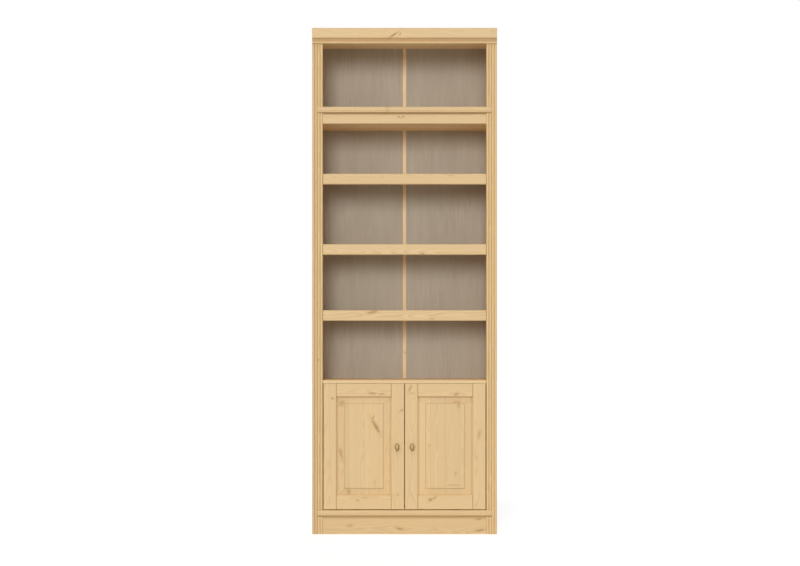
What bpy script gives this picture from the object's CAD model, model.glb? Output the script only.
import math
import random

import bmesh
import bpy
from mathutils import Matrix, Vector


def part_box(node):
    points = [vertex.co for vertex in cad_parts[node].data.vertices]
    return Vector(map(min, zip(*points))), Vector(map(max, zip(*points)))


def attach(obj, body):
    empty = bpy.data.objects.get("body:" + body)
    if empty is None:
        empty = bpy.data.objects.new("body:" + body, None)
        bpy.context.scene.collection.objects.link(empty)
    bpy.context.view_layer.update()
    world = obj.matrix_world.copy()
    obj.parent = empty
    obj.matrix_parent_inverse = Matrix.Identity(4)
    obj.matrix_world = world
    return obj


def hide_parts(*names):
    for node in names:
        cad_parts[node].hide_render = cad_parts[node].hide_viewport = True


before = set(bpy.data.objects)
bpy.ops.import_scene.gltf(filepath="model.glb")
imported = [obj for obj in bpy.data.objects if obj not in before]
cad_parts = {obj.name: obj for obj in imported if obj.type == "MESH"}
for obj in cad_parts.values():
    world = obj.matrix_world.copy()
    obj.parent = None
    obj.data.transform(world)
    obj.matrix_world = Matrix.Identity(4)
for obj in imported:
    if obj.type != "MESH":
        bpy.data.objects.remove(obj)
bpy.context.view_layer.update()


# --- Side panels ----------------------------------------------------------------------------------
# Two uprights glued up from pine staves, with two reeds run along the front edge, housings cut for
# the fixed boards and holes bored for the shelf pins.  Clear satin lacquer lies over the bare wood.

class Field:
    """A value or a colour that changes over a surface, used in plain sums."""

    def __init__(self, socket):
        self.socket = socket

    def node(self, kind, sockets, output=0, **settings):
        """Any node: its settings come first, then the values or links of its sockets."""
        tree = self.socket.id_data
        made = tree.nodes.new(f"ShaderNode{kind}")
        for name, value in settings.items():
            setattr(made, name, value)
        for name, value in sockets.items():
            if isinstance(value, Field):
                tree.links.new(value.socket, made.inputs[name])
            else:
                made.inputs[name].default_value = value
        return Field(made.outputs[output])

    def maths(self, operation, *others):
        """A sum on this value, and on the others where it takes more than one."""
        return self.node("Math", dict(enumerate((self, *others))), operation=operation)

    def __add__(self, other):
        return self.maths("ADD", other)

    def __sub__(self, other):
        return self.maths("SUBTRACT", other)

    def __rsub__(self, other):
        return self.node("Math", {0: other, 1: self}, operation="SUBTRACT")

    def __mul__(self, other):
        return self.maths("MULTIPLY", other)

    def __truediv__(self, other):
        return self.maths("DIVIDE", other)

    def __pow__(self, other):
        return self.maths("POWER", other)

    def __abs__(self):
        return self.maths("ABSOLUTE")

    __radd__ = __add__
    __rmul__ = __mul__

    def fade(self, start, end):
        """Rises softly from 0 at start to 1 at end, which may lie below start."""
        return self.node("MapRange", {"Value": self, "From Min": start, "From Max": end},
                         interpolation_type="SMOOTHSTEP")

    def parts(self):
        """The three numbers of a vector."""
        apart = self.node("SeparateXYZ", {0: self})
        return [Field(output) for output in apart.socket.node.outputs]

    def noise(self, stretch, shift=0.0, detail=2.0):
        """Cloudy noise about zero over a place, so many waves to the metre along each axis.

        The shift moves the place, so that each use has clouds of its own."""
        moved = self.node("VectorMath", {0: self, 1: stretch, 2: (shift, 1.7 * shift, 2.3 * shift)},
                          operation="MULTIPLY_ADD")
        return moved.node("TexNoise", {"Vector": moved, "Scale": 1.0, "Detail": detail}) - 0.5

    def tint(self, plain, marked):
        """The plain colour where this is 0 and the marked one where it is 1."""
        return self.node("Mix", {0: self, 6: plain, 7: marked}, output=2, data_type="RGBA")

    def shaded(self, colour):
        """The colour made lighter or darker by this."""
        plain = colour if isinstance(colour, Field) else colour[:3]
        return self.node("VectorMath", {0: plain, "Scale": self}, operation="SCALE")


def new_finish(name, **values):
    """A material, its main shader with the values that hold all over, and places on the piece."""
    material = bpy.data.materials.new(name)
    material.use_nodes = True
    skin = material.node_tree.nodes["Principled BSDF"]
    for socket, value in values.items():
        skin.inputs[socket.replace("_", " ")].default_value = value
    spot = Field(material.node_tree.nodes.new("ShaderNodeTexCoord").outputs["Object"])
    return material, skin, spot


def wire(skin, **fields):
    """Link fields to the main shader's sockets."""
    for socket, field in fields.items():
        skin.id_data.links.new(field.socket, skin.inputs[socket.replace("_", " ")])


def apply(material, *nodes):
    """Give CAD nodes their finish."""
    for node in nodes:
        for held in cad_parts[node].material_slots:
            held.material = material


AXES = {"x": 0, "y": 1, "z": 2}
SPRING_WOOD = (0.845, 0.603, 0.312, 1)
SUMMER_WOOD = (0.660, 0.415, 0.175, 1)
HONEY = (0.800, 0.530, 0.235, 1)
POOLED = (0.640, 0.365, 0.125, 1)
SAPWOOD = (0.960, 0.775, 0.500, 1)
KNOT_WOOD = (0.430, 0.215, 0.075, 1)
KNOT_HEART = (0.250, 0.110, 0.040, 1)

# the width of a year's ring and of a glue line, and how far the heart of the tree lies aside of the
# middle of a board or stave at the most, and how far behind it
RING_WIDE, GLUE_LINE = 0.0036, 0.0012
BOARD_ASIDE, BOARD_BEHIND = 0.03, (0.035, 0.075)
STAVE_ASIDE, STAVE_BEHIND = 0.045, (0.03, 0.08)
PLANKS_APART = 40

# where the marks of a knot start and are full, in knot radii, and how far it pushes the rings aside
KNOT_CORE, KNOT_HALO, KNOT_PITH = (1.08, 0.82), (2.6, 0.9), (0.55, 0.1)
RINGS_BEND, RINGS_PUSHED = (3.6, 0.4), 0.72


def knot_at(spot, face, centre, half_sizes, lean):
    """How far a place is from a knot, in knot radii.  The knot runs through the board."""
    in_face = [axis for axis in range(3) if axis != face]
    scale, turn = [1.0] * 3, [0.0] * 3
    scale[in_face[0]], scale[in_face[1]] = half_sizes
    turn[face] = math.radians(-lean if face == AXES["y"] else lean)
    offset = spot.node("Mapping", {"Vector": spot, "Location": centre, "Rotation": turn,
                                   "Scale": scale}, vector_type="TEXTURE")
    return offset.node("VectorMath", {0: offset}, output=1, operation="LENGTH")


def pine(node, grain, knots=(), stave=None, shade=None, tone=0.0, figure=1.0, sapwood=0.0):
    """Lacquered pine cut for one piece, with growth rings that bend round its knots.

    Each knot is its place along the two axes of the face, its two half sizes, its lean in degrees
    and how dark it is.  Wide boards are glued up from staves of about the given width.  The shade
    tells from a place where the lacquer has pooled and darkened.  A board may be paler in tone than
    the rest or hold more sapwood, and its figure is how strongly its rings show."""
    chance = random.Random(node)
    low, high = (Vector(corner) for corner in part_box(node))
    middle = (low + high) / 2
    along = AXES[grain]
    deep, across = sorted((axis for axis in range(3) if axis != along),
                          key=lambda axis: high[axis] - low[axis])
    seed = chance.uniform(0, 50)
    material, skin, spot = new_finish(f"pine_{node}", IOR=1.48, Specular_IOR_Level=0.35,
                                      Coat_Roughness=0.30, Coat_IOR=1.45)
    parts = spot.parts()

    # each stave is from another plank, so it has its own heart, tone and run of grain
    grain_spot, width_place, stave_tone, glue = spot, parts[across] - middle[across], 0.0, 0.0
    heart_off, heart_deep = chance.uniform(-BOARD_ASIDE, BOARD_ASIDE), chance.uniform(*BOARD_BEHIND)
    if stave:
        count = max(1, round((high[across] - low[across]) / stave))
        stave = (high[across] - low[across]) / count
        cell = (parts[across] - low[across]) / stave
        plank = cell.maths("FLOOR") + seed
        luck, other_luck, third_luck = plank.node(
            "TexWhiteNoise", {"W": plank}, output=1, noise_dimensions="1D").parts()
        shift = luck.node("CombineXYZ", {0: luck * PLANKS_APART, 1: other_luck * PLANKS_APART,
                                         2: third_luck * PLANKS_APART})
        grain_spot = spot.node("VectorMath", {0: spot, 1: shift}, operation="ADD")
        in_stave = cell.maths("FRACT") - 0.5
        width_place = in_stave * stave
        heart_off = (luck - 0.5) * (2 * STAVE_ASIDE)
        heart_deep = STAVE_BEHIND[0] + other_luck * (STAVE_BEHIND[1] - STAVE_BEHIND[0])
        stave_tone = (third_luck - 0.5) * 0.11
        # glue lines lie between the staves, and not along the two edges of the board
        glue = abs(in_stave).fade(0.5 - GLUE_LINE / stave, 0.5)
        glue = glue * cell.fade(0.2, 0.3) * (count - cell).fade(0.2, 0.3)

    def waves(lengthwise, crosswise, shift, detail=2.0):
        """Noise with so many waves to the metre along the grain and across it."""
        stretch = [crosswise] * 3
        stretch[along] = lengthwise
        return grain_spot.noise(stretch, seed + shift, detail)

    rough_edge = waves(60, 60, 3)
    core = halo = heart = None
    for first, second, half_first, half_second, lean, dark in knots:
        face_axes = [axis for axis in range(3) if axis != deep]
        centre = middle.copy()
        centre[face_axes[0]], centre[face_axes[1]] = first, second
        away = knot_at(spot, deep, centre, (half_first, half_second), lean) + rough_edge * 0.9
        bend = away.fade(*RINGS_BEND)
        width_place = width_place - (parts[across] - centre[across]) * bend * RINGS_PUSHED
        knot_core, knot_halo = away.fade(*KNOT_CORE) * dark, away.fade(*KNOT_HALO) * dark
        knot_heart = away.fade(*KNOT_PITH) * dark
        core = core.maths("MAXIMUM", knot_core) if core else knot_core
        halo = halo.maths("MAXIMUM", knot_halo) if halo else knot_halo
        heart = heart.maths("MAXIMUM", knot_heart) if heart else knot_heart

    # rings round the heart, which wanders along the board: pale spring wood, then a summer line
    wander = waves(1.1, 6, 5)
    sway = waves(2.2, 9, 11)
    ring_u = width_place + heart_off + wander * 0.05
    ring_v = parts[deep] - middle[deep] + heart_deep + sway * 0.045
    radius = (ring_u * ring_u + ring_v * ring_v) ** 0.5
    growth = radius / RING_WIDE + waves(7, 120, 17) * 0.5
    phase = growth.maths("FRACT")
    line = phase.fade(0.25, 0.86) * phase.fade(1.0, 0.9)
    season = waves(0.5, 45, 23, detail=1.0)
    fibre = waves(14, 900, 29, detail=3.0)
    cloud = waves(1.6, 11, 31)

    strength = (0.42 + season * 0.7) * line * figure
    wood = strength.tint(SPRING_WOOD, SUMMER_WOOD)
    wood = (cloud.fade(-0.05, 0.4) * 0.45).tint(wood, HONEY)
    if knots:
        wood = (halo * 0.42).tint(wood, SUMMER_WOOD)
        wood = (core * (0.66 + fibre)).tint(wood, KNOT_WOOD)
        wood = (heart * 0.55).tint(wood, KNOT_HEART)
    if sapwood:
        wood = (sapwood + cloud * 0.4).tint(wood, SAPWOOD)
    bright = 1.0 + tone + cloud * 0.12 + fibre * 0.16 + stave_tone - glue * 0.16
    if shade:
        wood = (shade(parts) * 0.5).tint(wood, POOLED)
        bright = bright - shade(parts) * 0.11
    wood = bright.shaded(wood)

    sheen = 0.52 + fibre * 0.25 - line * 0.05
    height = fibre * 0.5 + line * 0.35 - glue * 1.5
    relief = height.node("Bump", {"Height": height, "Strength": 0.35, "Distance": 0.0004})
    wire(skin, Base_Color=wood, Roughness=sheen, Coat_Weight=0.10 - line * 0.04, Normal=relief)
    return material


def scattered_knots(node, axes, count, largest=0.012):
    """Knots strewn at random over a board, each at least as long on the second axis of its face."""
    chance = random.Random(f"knots of {node}")
    low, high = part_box(node)
    knots = []
    for _ in range(count):
        size = chance.uniform(0.4, 1.0) * largest
        place = [chance.uniform(low[axis] + 2 * largest, high[axis] - 2 * largest) for axis in axes]
        knots.append((*place, size, size * chance.uniform(1.0, 1.5), chance.uniform(-20, 20),
                      chance.uniform(0.5, 1.0)))
    return knots


# how far behind the front edges the valleys start and are deepest, and where the reeds end
VALLEY_START, VALLEY_FLOOR = 0.0006, 0.0022
REEDS_DEEP, REEDS_END = 0.003, 0.006


def between_reeds(parts):
    """The valleys between the reeds, which lie back from the plane of the front edges."""
    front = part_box("side_panel_left")[0][1]
    on_reeds = parts[1].fade(front + REEDS_END, front + REEDS_DEEP)
    return parts[1].fade(front + VALLEY_START, front + VALLEY_FLOOR) * on_reeds * 1.5


for side in ("left", "right"):
    panel = f"side_panel_{side}"
    apply(pine(panel, "z", scattered_knots(panel, (1, 2), 9), stave=0.068, shade=between_reeds),
          panel)


# --- Reeded strips --------------------------------------------------------------------------------
# Square pine strips glued inside the front edge of each side panel.  Their two reeds carry on the
# pair on the panel, and they are cut in three lengths between the plinth, the ledge and the top.

STRIP_KNOTS = {"main_strip_left": [(-0.374, 0.754, 0.003, 0.005, 0, 0.8)],
               "main_strip_right": [(0.366, 1.352, 0.002, 0.006, 0, 0.5)]}
for part in ("plinth", "main", "upper"):
    for side in ("left", "right"):
        strip = f"{part}_strip_{side}"
        apply(pine(strip, "z", STRIP_KNOTS.get(strip, ()), shade=between_reeds, tone=0.03), strip)


# --- Plinth and bottom board ----------------------------------------------------------------------
# The plinth is a pine board set back a little between the strips.  The bottom board lies on it and
# has a full round nose that stands proud of the whole front.

PLINTH_KNOTS = [(-0.238, 0.036, 0.018, 0.007, 10, 0.35), (-0.020, 0.023, 0.014, 0.005, -15, 0.7),
                (0.322, 0.066, 0.013, 0.004, 8, 0.75), (0.326, 0.017, 0.020, 0.005, 12, 0.75)]

# how far from the corner between the two the darkening starts and is full
PLINTH_DARKENS, PLINTH_DARK = 0.013, 0.003
NOSE_DARKENS, NOSE_DARK = 0.011, 0.001


def under_edge(parts):
    """The top of the plinth, just under the board that stands proud."""
    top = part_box("plinth")[1][2]
    return parts[2].fade(top - PLINTH_DARKENS, top - PLINTH_DARK)


def under_nose(parts):
    """The lower turn of the bottom board's nose."""
    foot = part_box("bottom_board")[0][2]
    return parts[2].fade(foot + NOSE_DARKENS, foot + NOSE_DARK)


apply(pine("plinth", "x", PLINTH_KNOTS, shade=under_edge, tone=-0.055), "plinth")
apply(pine("bottom_board", "x", stave=0.075, shade=under_nose, tone=0.015), "bottom_board")


# --- Fixed shelf, head board and top board --------------------------------------------------------
# Glued-up pine boards let into housings in the side panels.  They tie the case together over the
# doors, behind the frieze rail and under the crown, and the upper ones hold more pale sapwood.

for board, count, sapwood in (("fixed_shelf", 3, 0.0), ("head_board", 2, 0.3),
                              ("top_board", 4, 0.75)):
    apply(pine(board, "x", scattered_knots(board, (0, 1), count), stave=0.07, tone=0.14,
               sapwood=sapwood), board)


# --- Frieze rail and ledge ------------------------------------------------------------------------
# The rail is glued between the strips under the ledge, its lower front edge rounded.  The ledge is
# a thicker board with a rounded nose and a fine quirk run along it.

RAIL_KNOTS = [(-0.024, 1.807, 0.008, 0.003, -30, 0.8), (-0.006, 1.808, 0.007, 0.003, 30, 0.7)]
LEDGE_KNOTS = [(-0.073, -0.124, 0.010, 0.006, 0, 0.6)]

# how far from the corner between the two the darkening starts and is full
RAIL_DARKENS, RAIL_DARK = 0.0085, 0.0045
LEDGE_DARKENS, LEDGE_DARK = 0.0032, 0.0018


def under_ledge(parts):
    """The sharp corner between the rail and the ledge's nose."""
    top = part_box("frieze_rail")[1][2]
    return parts[2].fade(top - RAIL_DARKENS, top - RAIL_DARK) * 2.5


def foot_of_nose(parts):
    """The lowest part of the ledge's nose, next to that corner."""
    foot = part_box("ledge_board")[0][2]
    return parts[2].fade(foot + LEDGE_DARKENS, foot + LEDGE_DARK) * 2.0


apply(pine("frieze_rail", "x", RAIL_KNOTS, shade=under_ledge), "frieze_rail")
apply(pine("ledge_board", "x", LEDGE_KNOTS, stave=0.07, shade=foot_of_nose), "ledge_board")


# --- Crown moulding -------------------------------------------------------------------------------
# One length of pine run to a flat fascia over a cove and a bead.  It is glued across the front of
# the case, level with the outside of the side panels.

CROWN_KNOTS = [(-0.047, 2.159, 0.023, 0.0035, 33, 0.95), (-0.019, 2.163, 0.007, 0.003, 55, 0.7)]
FASCIA_TALL, COVE_TALL = 0.043, 0.014
COVE_DARKENS, COVE_DARK, BEAD_EDGE = 0.003, 0.008, 0.002


def in_cove(parts):
    """The hollow between the fascia and the bead."""
    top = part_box("crown_moulding")[1][2] - FASCIA_TALL
    over_bead = parts[2].fade(top - COVE_TALL - BEAD_EDGE, top - COVE_TALL)
    return parts[2].fade(top - COVE_DARKENS, top - COVE_DARK) * over_bead


apply(pine("crown_moulding", "x", CROWN_KNOTS, shade=in_cove, figure=0.6), "crown_moulding")


# --- Glue blocks ----------------------------------------------------------------------------------
# Three-cornered pine blocks, rubbed with glue into the angle behind the plinth and the one behind
# the crown.  They need no screws.

apply(pine("glue_blocks", "x"), "glue_blocks")


# --- Back panels and muntin -----------------------------------------------------------------------
# Two thin boards slid into the rebates from behind, with a grooved pine muntin between them.  Their
# front is printed with a taupe-grey brushed wood grain, and their back is plain brown fibreboard.

TAUPE_PALE = (0.560, 0.507, 0.409, 1)
TAUPE_DARK = (0.376, 0.314, 0.239, 1)
FIBREBOARD = (0.330, 0.205, 0.115, 1)
FIBREBOARD_FLECK = (0.225, 0.130, 0.070, 1)
FACE_DEEP = 0.001
MUNTIN_KNOTS = [(0.002, 0.783, 0.004, 0.007, 20, 0.8)]


def grey_back(node):
    """Grey woodgrain in front and fibreboard behind, told apart by their place in the board."""
    seed = random.Random(node).uniform(0, 50)
    material, skin, spot = new_finish(f"back_{node}", IOR=1.45)
    low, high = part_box(node)
    behind = spot.parts()[1].fade(low[1] + FACE_DEEP, high[1] - FACE_DEEP)

    # the printed grain runs upwards, bows a little, and is streaky in patches
    bow = spot.noise((3, 3, 1.5), seed) * 0.02
    bent = spot.node("VectorMath", {0: spot, 1: bow.node("CombineXYZ", {0: bow})}, operation="ADD")
    band = bent.noise((22, 1, 3.5), seed)
    patch = bent.noise((9, 1, 6), seed + 25).fade(-0.15, 0.2)
    streak = bent.noise((150, 1, 9.0), seed + 7, detail=3.0) * (0.25 + patch * 1.1)
    hair = bent.noise((620, 1, 9.0), seed + 13)
    flake = streak.fade(0.10, 0.28) * bent.noise((70, 1, 9), seed + 19).fade(-0.02, 0.15)
    grain = (0.42 + band * 0.55 + streak * 0.75 + hair * 0.45).tint(TAUPE_DARK, TAUPE_PALE)
    grain = (flake * 0.30).tint(grain, TAUPE_PALE)

    speck = spot.noise((900, 900, 900), seed, detail=3.0) + spot.noise((90, 90, 90), seed) * 0.5
    board = (0.4 + speck).tint(FIBREBOARD, FIBREBOARD_FLECK)
    height = streak * 0.5 + hair * 0.5
    relief = height.node("Bump", {"Height": height, "Strength": 0.25, "Distance": 0.0003})
    wire(skin, Base_Color=behind.tint(grain, board), Roughness=0.56 + hair * 0.2, Normal=relief)
    return material


for side in ("left", "right"):
    apply(grey_back(f"back_panel_{side}"), f"back_panel_{side}")
apply(pine("back_muntin", "z", MUNTIN_KNOTS, tone=0.02, sapwood=0.40), "back_muntin")


# --- Back pins ------------------------------------------------------------------------------------
# Small steel panel pins with domed heads, tapped in from behind.  They hold the back in its
# rebates and to the rear edges of the fixed boards.

PIN_HEAD, PIN_DOME, PIN_PITCH, PIN_EDGE = 0.0016, 0.0006, 0.11, 0.006
PIN_PROFILE = [(PIN_HEAD, 0.0), (PIN_HEAD, PIN_DOME / 2), (PIN_HEAD * 0.6, PIN_DOME),
               (0.0, PIN_DOME * 1.1)]
CLEAR_OF_MUNTIN = 0.02
STEEL = (0.56, 0.56, 0.54, 1)


def steel(name, colour=STEEL, rough=0.34):
    """Plated or browned steel with a faint mottle."""
    material, skin, spot = new_finish(name, Metallic=1.0)
    mottle = spot.noise((260, 260, 260), detail=3.0)
    spangle = spot.noise((1500, 1500, 1500), 5.0)
    wire(skin, Base_Color=(1.0 + mottle * 0.35).shaded(colour),
         Roughness=rough + mottle * 0.3 + spangle * 0.1)
    return material


def piece_from(mesh_maker, name, material, body):
    """A new piece from a function that fills a bmesh, riding on its body."""
    shape = bmesh.new()
    mesh_maker(shape)
    bmesh.ops.recalc_face_normals(shape, faces=shape.faces)
    mesh = bpy.data.meshes.new(name)
    shape.to_mesh(mesh)
    shape.free()
    mesh.shade_smooth()
    piece = bpy.data.objects.new(name, mesh)
    bpy.context.scene.collection.objects.link(piece)
    mesh.materials.append(material)
    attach(piece, body)
    return piece


def stood(at, facing):
    """The place of a turned form: its foot at a point and its top facing a way."""
    return Matrix.Translation(at) @ Vector(facing).to_track_quat("Z", "Y").to_matrix().to_4x4()


def turned(shape, profile, at, facing, steps=20):
    """A turned form from the radii and heights of its profile."""
    place, rings = stood(at, facing), []
    for radius, height in profile:
        ring = []
        for step in range(steps if radius > 0 else 1):
            angle = step * math.tau / steps
            corner = Vector((radius * math.cos(angle), radius * math.sin(angle), height))
            ring.append(shape.verts.new(place @ corner))
        rings.append(ring)
    for lower, upper in zip(rings, rings[1:]):
        for step in range(steps):
            corners = [lower[step % len(lower)], lower[(step + 1) % len(lower)],
                       upper[(step + 1) % len(upper)], upper[step % len(upper)]]
            shape.faces.new(dict.fromkeys(corners))


def pin_places():
    """Rows of pins up both sides of the back and along the rear edges of the fixed boards."""
    (left, _, foot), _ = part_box("back_panel_left")
    _, (right, rear, head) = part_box("back_panel_right")
    rows = round((head - foot) / PIN_PITCH)
    for row in range(rows + 1):
        height = foot + PIN_EDGE + row * (head - foot - 2 * PIN_EDGE) / rows
        yield left + PIN_EDGE, rear, height
        yield right - PIN_EDGE, rear, height
    for board in ("bottom_board", "fixed_shelf", "head_board", "ledge_board", "top_board"):
        low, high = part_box(board)
        columns = round((right - left) / PIN_PITCH)
        for column in range(1, columns):
            across = left + column * (right - left) / columns
            if abs(across) > CLEAR_OF_MUNTIN:
                yield across, rear, (max(low[2], foot) + min(high[2], head)) / 2


piece_from(lambda shape: [turned(shape, PIN_PROFILE, Vector(place), (0, 1, 0), 10)
                          for place in pin_places()],
           "back_pins", steel("panel_pin_steel"), "carcass")


# --- Wall brackets --------------------------------------------------------------------------------
# Two small zinc-plated angles on the rear of the top board, each held by its own screw, with a hole
# through the upright leg for the screw into the wall.

zinc = steel("zinc_fittings")
apply(zinc, "wall_brackets", "bracket_screws")


# --- Adjustable shelves and their lips ------------------------------------------------------------
# Each shelf is a glued-up board on four pins.  A deep pine lip with softened edges is glued to its
# front, level with its top.  The loose shelf in the cupboard has no lip.

LIP_KNOTS = {
    "low": [(-0.139, 0.962, 0.024, 0.007, 14, 0.75), (0.118, 0.934, 0.012, 0.004, 0, 0.35)],
    "middle": [(0.077, 1.214, 0.008, 0.004, 0, 0.6)],
    "high": [(-0.10, 1.548, 0.010, 0.003, 0, 0.25), (0.20, 1.553, 0.012, 0.003, 0, 0.3)]}
for shelf in ("cupboard", "low", "middle", "high"):
    board = f"{shelf}_shelf"
    apply(pine(board, "x", scattered_knots(board, (0, 1), 3), stave=0.06), board)
for shelf, knots in LIP_KNOTS.items():
    apply(pine(f"{shelf}_shelf_lip", "x", knots), f"{shelf}_shelf_lip")


# --- Shelf pins, bushes and pivots ----------------------------------------------------------------
# Turned brass pins carry the shelves.  Brass bushes in the boards over and under the doors take the
# browned steel pins of the pivot plates, which are let into the ends of the hinge stiles.

BRASS = (0.700, 0.520, 0.240, 1)
BRASS_DULL = (0.470, 0.320, 0.130, 1)
BROWNED = (0.210, 0.165, 0.115, 1)
PIVOTS = [f"door_{side}_{end}_pivot" for side in ("left", "right") for end in ("top", "bottom")]


def turned_brass(name):
    """Bright turned brass that has begun to dull."""
    material, skin, spot = new_finish(name, Metallic=1.0)
    dulling = spot.noise((180, 180, 180), detail=3.0)
    turning = spot.noise((2500, 2500, 2500), 3.0)
    wire(skin, Base_Color=dulling.fade(-0.1, 0.3).tint(BRASS, BRASS_DULL),
         Roughness=0.28 + dulling * 0.3 + turning * 0.12)
    return material


apply(turned_brass("brass_fittings"), "shelf_pins", "pivot_bushes")
apply(steel("browned_steel", BROWNED, rough=0.60), *PIVOTS)


# --- Doors ----------------------------------------------------------------------------------------
# Each door is two grooved stiles with two rails tenoned between them, glued round a raised panel
# that floats in the grooves.  The panel is glued up from staves, and knots show all over the frame.

DOOR_KNOTS = {
    "door_left_top_rail": [(-0.139, 0.610, 0.020, 0.004, -4, 0.7),
                           (-0.098, 0.607, 0.014, 0.003, 8, 0.6)],
    "door_left_hinge_stile": [(-0.312, 0.588, 0.010, 0.006, -30, 0.4)],
    "door_left_meeting_stile": [(-0.013, 0.536, 0.012, 0.005, 30, 0.45),
                                (-0.030, 0.172, 0.008, 0.006, 0, 0.3)],
    "door_left_panel": [(-0.272, 0.566, 0.012, 0.014, -30, 0.45),
                        (-0.124, 0.466, 0.007, 0.030, 30, 0.95),
                        (-0.137, 0.502, 0.004, 0.014, -25, 0.5),
                        (-0.276, 0.350, 0.007, 0.026, 14, 0.5),
                        (-0.240, 0.184, 0.008, 0.012, 10, 0.5),
                        (-0.128, 0.226, 0.008, 0.012, 20, 0.2)],
    "door_left_bottom_rail": [(-0.203, 0.146, 0.009, 0.006, -20, 0.3),
                              (-0.170, 0.158, 0.020, 0.004, 3, 0.25)],
    "door_right_meeting_stile": [(0.024, 0.633, 0.006, 0.016, -22, 0.5),
                                 (0.030, 0.610, 0.010, 0.004, 15, 0.3)],
    "door_right_top_rail": [(0.225, 0.606, 0.010, 0.006, 25, 0.55)],
    "door_right_hinge_stile": [(0.324, 0.434, 0.008, 0.024, -8, 0.35),
                               (0.312, 0.330, 0.004, 0.014, 0, 0.25)],
    "door_right_panel": [(0.226, 0.573, 0.020, 0.006, 2, 0.45),
                         (0.234, 0.560, 0.006, 0.016, 5, 0.4),
                         (0.221, 0.262, 0.006, 0.010, -10, 0.35),
                         (0.210, 0.212, 0.026, 0.004, 0, 0.3),
                         (0.108, 0.385, 0.006, 0.003, 0, 0.3)],
    "door_right_bottom_rail": [(0.112, 0.149, 0.010, 0.007, 20, 0.7),
                               (0.128, 0.156, 0.010, 0.004, 30, 0.6)]}
DOOR_FIGURE = 0.65
BEVEL_SIDE, BEVEL_END = 0.035, 0.029

# where the lacquer's lines start and are full: in from a shoulder, past the edge of the raised
# field on its two sides, in from the stiles on its two sides, and in from the rails
SHOULDER_LINE = (0.0030, 0.0018)
FIELD_LINE_INSIDE, FIELD_LINE_OUTSIDE, FIELD_ENDS = (-0.0030, -0.0012), (0.0018, 0.0002), 0.004
STILE_SHADOW, STILE_CORNER = (0.012, 0.005), (-0.001, 0.004)
HEAD_SHADOW, FOOT_SHADOW = (0.008, 0.001), (0.0045, 0.001)

for side in ("left", "right"):
    stiles = [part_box(f"door_{side}_{part}") for part in ("hinge_stile", "meeting_stile")]
    left_edge, right_edge = sorted(stiles, key=lambda held: held[0][0])
    sight = (left_edge[1][0], right_edge[0][0])
    foot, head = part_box(f"door_{side}_bottom_rail")[1][2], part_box(f"door_{side}_top_rail")[0][2]

    def at_shoulder(parts):
        """The joint between a rail and the stiles."""
        inside = (sight[1] - sight[0]) / 2 - abs(parts[0] - sum(sight) / 2)
        return inside.fade(*SHOULDER_LINE) * 2.0

    def round_field(parts):
        """The step round the raised field, and the deep edges of the bevels."""
        in_side = (sight[1] - sight[0]) / 2 - abs(parts[0] - sum(sight) / 2)
        in_end = (head - foot) / 2 - abs(parts[2] - (foot + head) / 2)
        past = (BEVEL_SIDE - in_side).maths("MAXIMUM", BEVEL_END - in_end)
        at_foot = parts[2].fade(foot + BEVEL_END + FIELD_ENDS, foot + BEVEL_END)
        at_head = parts[2].fade(head - BEVEL_END, head - BEVEL_END + FIELD_ENDS)
        step = past.fade(*FIELD_LINE_INSIDE) * past.fade(*FIELD_LINE_OUTSIDE)
        step = step * (0.9 + at_foot * 0.6)
        beside = in_side.fade(*STILE_SHADOW) * in_side.fade(*STILE_CORNER) * 0.7
        above = parts[2].fade(head - HEAD_SHADOW[0], head - HEAD_SHADOW[1]) * 1.2 + at_head * 0.3
        below = parts[2].fade(foot + FOOT_SHADOW[0], foot + FOOT_SHADOW[1]) * 0.5
        return step + beside + above + below

    for part, grain, stave, shade in (("hinge_stile", "z", None, None),
                                      ("meeting_stile", "z", None, None),
                                      ("bottom_rail", "x", None, at_shoulder),
                                      ("top_rail", "x", None, at_shoulder),
                                      ("panel", "z", 0.064, round_field)):
        member = f"door_{side}_{part}"
        apply(pine(member, grain, DOOR_KNOTS.get(member, ()), stave, shade, figure=DOOR_FIGURE),
              member)


# --- Knobs ----------------------------------------------------------------------------------------
# Oval knobs cast in brass and antiqued, each on a round rose and a short neck.  They are dark in
# the hollow round the dome and rubbed brighter on top.

ANTIQUE = (0.450, 0.325, 0.150, 1)
PATINA = (0.360, 0.250, 0.105, 1)
RUBBED_TO, RUBBED_FULL = 0.006, 0.0005


def antique_brass(node):
    """Patina settles low on the rim, and the raised dome is rubbed bright."""
    material, skin, spot = new_finish(f"{node}_brass", Metallic=0.9)
    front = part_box(node)[0][1]
    depth = spot.parts()[1] + spot.noise((300, 300, 300), 2.0) * 0.004
    rubbed = depth.fade(front + RUBBED_TO, front + RUBBED_FULL)
    mottle = spot.noise((420, 420, 420), 9.0, detail=3.0)
    wire(skin, Base_Color=(rubbed * 0.85 + mottle * 0.3).tint(PATINA, ANTIQUE),
         Roughness=0.60 - rubbed * 0.08 + mottle * 0.3)
    return material


for side in ("left", "right"):
    knob = f"door_{side}_knob"
    apply(antique_brass(knob), knob)


# --- Knob screws ----------------------------------------------------------------------------------
# Zinc-plated steel screws with a domed head and a cross cut in it.  One goes through each meeting
# stile from behind and into its knob.

SLOT_LONG, SLOT_WIDE, SLOT_DEEP = 0.60, 0.20, 0.55
KNOB_SCREW_SHANK = 0.002


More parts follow.
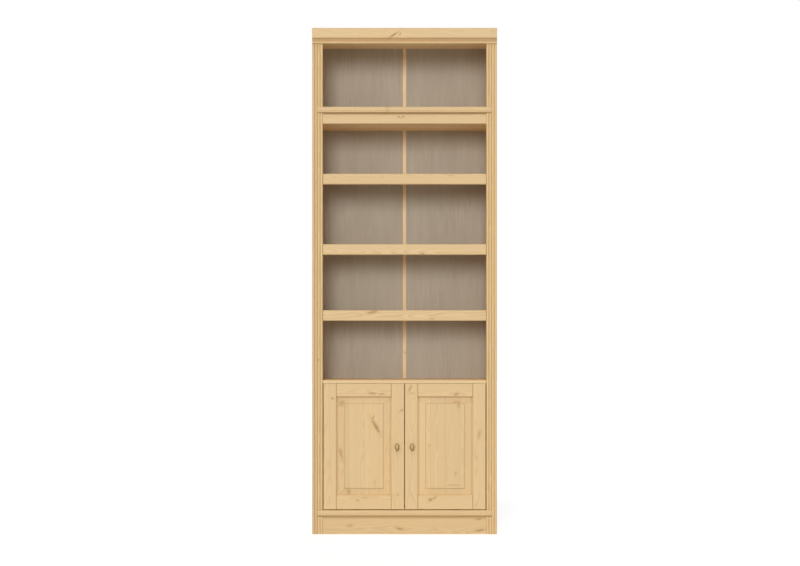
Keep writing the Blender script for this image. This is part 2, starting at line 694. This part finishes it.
def cross_head_screw(name, at, facing, head_radius, head_thick, shank_radius, shank_long, body):
    """A domed head with a cross cut in it, on a shank, the underside of the head at a place."""
    profile = [(0.0, -shank_long), (shank_radius * 0.6, -shank_long),
               (shank_radius, -shank_long * 0.9), (shank_radius, 0.0), (head_radius, 0.0),
               (head_radius, head_thick * 0.35), (head_radius * 0.86, head_thick * 0.72),
               (head_radius * 0.5, head_thick * 0.95), (0.0, head_thick)]
    piece = piece_from(lambda shape: turned(shape, profile, Vector(at), facing, 32),
                       name, screw_steel, body)
    cutters = []
    for turn in (0, 90):
        size = Vector((head_radius * 2 * SLOT_LONG, head_radius * 2 * SLOT_WIDE, head_thick * 2))
        spot = stood(at, facing) @ Matrix.Rotation(math.radians(turn), 4, "Z")
        spot = spot @ Matrix.Translation((0, 0, head_thick * (2 - SLOT_DEEP)))
        shape = bmesh.new()
        bmesh.ops.create_cube(shape, size=1.0, matrix=spot @ Matrix.Diagonal((*size, 1.0)))
        mesh = bpy.data.meshes.new("slot")
        shape.to_mesh(mesh)
        shape.free()
        cutter = bpy.data.objects.new("slot", mesh)
        bpy.context.scene.collection.objects.link(cutter)
        cut = piece.modifiers.new("slot", "BOOLEAN")
        cut.object, cut.operation, cut.solver = cutter, "DIFFERENCE", "EXACT"
        cutters.append(cutter)
    shaped = bpy.data.meshes.new_from_object(
        piece.evaluated_get(bpy.context.evaluated_depsgraph_get()))
    piece.modifiers.clear()
    piece.data = shaped
    for cutter in cutters:
        bpy.data.objects.remove(cutter)
    return piece


screw_steel = steel("screw_steel", (0.62, 0.60, 0.55, 1))
for side in ("left", "right"):
    low, high = (Vector(corner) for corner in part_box(f"door_{side}_knob_screw"))
    rear_of_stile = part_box(f"door_{side}_meeting_stile")[1][1]
    middle = (low + high) / 2
    screw = cross_head_screw(
        f"knob_screw_{side}", (middle.x, rear_of_stile, middle.z), (0, 1, 0),
        (high.x - low.x) / 2, high.y - rear_of_stile, KNOB_SCREW_SHANK, rear_of_stile - low.y,
        f"door_{side}")
    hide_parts(f"door_{side}_knob_screw")


# --- Magnetic catches and strike plates -----------------------------------------------------------
# A brown plastic housing under the fixed shelf behind each door, with two steel pole plates that
# stand just proud of it and a screw up through each end.  They meet a zinc-plated strike plate,
# which one screw holds to the back of the door.

POLE_LONG, POLE_DEEP, POLE_THICK, POLE_ROUND = 0.022, 0.002, 0.0016, 0.0002
POLE_PROUD, POLE_APART = 0.0003, 0.005
CATCH_HALF_SPAN = 0.016
CATCH_BROWN = (0.150, 0.078, 0.040, 1)

# of each screw: the radius of its head, how thick that is, the radius of its shank and its length
CATCH_SCREW = (0.003, 0.0014, 0.0014, 0.011)
STRIKE_SCREW, STRIKE_SCREW_SUNK = (0.0028, 0.0011, 0.0012, 0.0002), 0.0008


def moulded_plastic(name):
    """Fine spark-eroded texture on brown plastic."""
    material, skin, spot = new_finish(name, IOR=1.46)
    pebble = spot.noise((1400, 1400, 1400), detail=3.0)
    cast = spot.noise((60, 60, 60), 4.0)
    relief = pebble.node("Bump", {"Height": pebble, "Strength": 0.4, "Distance": 0.0002})
    wire(skin, Base_Color=(1.0 + cast * 0.3 + pebble * 0.15).shaded(CATCH_BROWN),
         Roughness=0.5 + pebble * 0.2, Normal=relief)
    return material


apply(moulded_plastic("catch_plastic"), "magnetic_catches")
catch_low, catch_high = (Vector(corner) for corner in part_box("magnetic_catches"))
catch_middle = (catch_low + catch_high) / 2
for side in ("left", "right"):
    strike = f"door_{side}_strike_plate"
    apply(zinc, strike)
    low, high = (Vector(corner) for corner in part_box(strike))
    middle = (low + high) / 2
    cross_head_screw(f"strike_screw_{side}", (middle.x, high.y - STRIKE_SCREW_SUNK, middle.z),
                     (0, 1, 0), *STRIKE_SCREW, f"door_{side}")

    def poles(shape):
        for level in (-1, 1):
            spot = Vector((middle.x, catch_low.y - POLE_PROUD + POLE_DEEP / 2,
                           catch_middle.z + level * POLE_APART / 2))
            size = (POLE_LONG, POLE_DEEP, POLE_THICK, 1.0)
            made = bmesh.ops.create_cube(
                shape, size=1.0, matrix=Matrix.Translation(spot) @ Matrix.Diagonal(size))
            edges = {edge for corner in made["verts"] for edge in corner.link_edges}
            bmesh.ops.bevel(shape, geom=list(edges), offset=POLE_ROUND, segments=2,
                            affect="EDGES")

    piece_from(poles, f"catch_poles_{side}", screw_steel, "carcass")
    for end, way in (("inner", -1), ("outer", 1)):
        cross_head_screw(
            f"catch_screw_{side}_{end}",
            (middle.x + way * CATCH_HALF_SPAN, catch_middle.y, catch_low.z), (0, 0, -1),
            *CATCH_SCREW, "carcass")


# --- Studio ---------------------------------------------------------------------------------------
# A white floor that keeps a soft shadow, big soft lamps far off on all sides, the strongest in
# front and above, and a level camera straight in front.

FLOOR_SIZE = 40.0
FLOOR_WHITE, FLOOR_GLOW = 0.66, 0.61
FILL_LEVEL = 0.09


def camera_sees(tree):
    """1 for what the camera sees, also by way of metal or glass, and 0 for the light on things."""
    path = tree.nodes.new("ShaderNodeLightPath")
    seen = Field(path.outputs["Is Camera Ray"])
    for ray in ("Is Glossy Ray", "Is Transmission Ray"):
        seen = seen.maths("MAXIMUM", Field(path.outputs[ray]))
    return seen


floor_mesh = bpy.data.meshes.new("floor")
half = FLOOR_SIZE / 2
floor_mesh.from_pydata([(-half, -half, 0), (half, -half, 0), (half, half, 0), (-half, half, 0)],
                       [], [(0, 1, 2, 3)])
floor = bpy.data.objects.new("floor", floor_mesh)
bpy.context.scene.collection.objects.link(floor)
floor_finish, floor_skin, floor_spot = new_finish("white_floor", Roughness=0.9, IOR=1.2,
                                                  Emission_Strength=1.0)
floor_speck = floor_spot.noise((40, 40, 40))
glow = camera_sees(floor_finish.node_tree) * FLOOR_GLOW
wire(floor_skin, Base_Color=(FLOOR_WHITE + floor_speck * 0.01).shaded((1, 1, 1)),
     Emission_Color=glow.shaded((1, 1, 1)))
floor_mesh.materials.append(floor_finish)

world = bpy.data.worlds.new("studio")
world.use_nodes = True
bpy.context.scene.world = world
background = world.node_tree.nodes["Background"]
level = camera_sees(world.node_tree) * (1.0 - FILL_LEVEL) + FILL_LEVEL
world.node_tree.links.new(level.socket, background.inputs["Strength"])
background.inputs["Color"].default_value = (1, 1, 1, 1)

# where each lamp's light comes from, how wide it looks from the case in degrees, and how strong
LAMPS = {"front_lamp": ((-0.5, -6.0, 1.28), 22, 1.27),
         "top_lamp": ((-0.5, -3.4, 5.9), 16, 0.70),
         "left_lamp": ((-4.0, -4.0, 1.6), 20, 0.26),
         "right_lamp": ((4.0, -4.0, 1.6), 20, 0.15),
         "left_side_lamp": ((-6.0, 1.3, 1.9), 24, 0.80),
         "right_side_lamp": ((6.0, 1.3, 1.9), 24, 0.75),
         "back_lamp": ((1.0, 5.0, 1.7), 30, 0.80)}
for name, (from_point, wide, strength) in LAMPS.items():
    light = bpy.data.lights.new(name, "SUN")
    light.energy, light.angle = strength, math.radians(wide)
    lamp = bpy.data.objects.new(name, light)
    lamp.location = from_point
    lamp.rotation_euler = Vector(from_point).to_track_quat("Z", "Y").to_euler()
    bpy.context.scene.collection.objects.link(lamp)

# the camera takes in this width at the plane of the front edges
CAMERA_AWAY, CAMERA_HIGH, FRONT_WIDE = 7.0, 0.895, 3.463
SHIFT_ACROSS, SHIFT_UP = -0.0057, 0.05565
SENSOR = 36.0
camera_data = bpy.data.cameras.new("camera")
camera_data.sensor_width = SENSOR
camera_data.lens = SENSOR * CAMERA_AWAY / FRONT_WIDE
camera_data.shift_x, camera_data.shift_y = SHIFT_ACROSS, SHIFT_UP
camera = bpy.data.objects.new("camera", camera_data)
camera.location = (0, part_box("side_panel_left")[0][1] - CAMERA_AWAY, CAMERA_HIGH)
camera.rotation_euler = (math.radians(90), 0, 0)
bpy.context.scene.collection.objects.link(camera)
bpy.context.scene.camera = camera
bpy.context.scene.view_settings.view_transform = "Standard"
